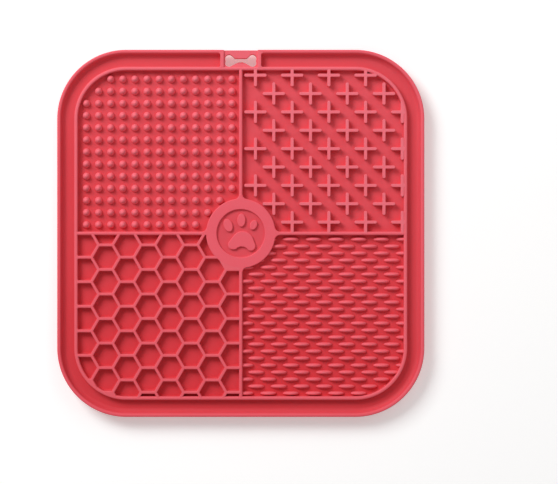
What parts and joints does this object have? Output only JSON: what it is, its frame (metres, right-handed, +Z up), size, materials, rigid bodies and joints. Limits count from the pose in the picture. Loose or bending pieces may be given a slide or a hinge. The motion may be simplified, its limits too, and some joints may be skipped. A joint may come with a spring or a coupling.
{
  "type": "lick mat",
  "caption": "Square silicone lick mat with round corners, a rimmed gutter, four relief fields round a paw medallion, a bone-shaped hanging hole and suction cups underneath.",
  "frame": {"origin": "middle of the square mat, on the surface it stands on, level with the lips of its suction cups", "axes": "+Z up, out of the licking face; +Y towards the side with the hanging hole; +X to the right, seen from above"},
  "size_m": [0.2, 0.2, 0.0094],
  "materials": {
    "silicone": "satin coral red silicone with a fine matte skin"
  },
  "bodies": {
    "root": {"base_sheet": "silicone", "outer_rim": "silicone", "inner_wall": "silicone", "divider_top": "silicone", "divider_bottom": "silicone", "divider_left": "silicone", "divider_right": "silicone", "medallion": "silicone", "paw_relief": "silicone", "hang_tab": "silicone", "tab_post_left": "silicone", "tab_post_right": "silicone", "nub_panel": "silicone", "cross_panel": "silicone", "honeycomb_panel": "silicone", "ripple_panel": "silicone", "suction_cups": "silicone"}
  },
  "joints": []
}
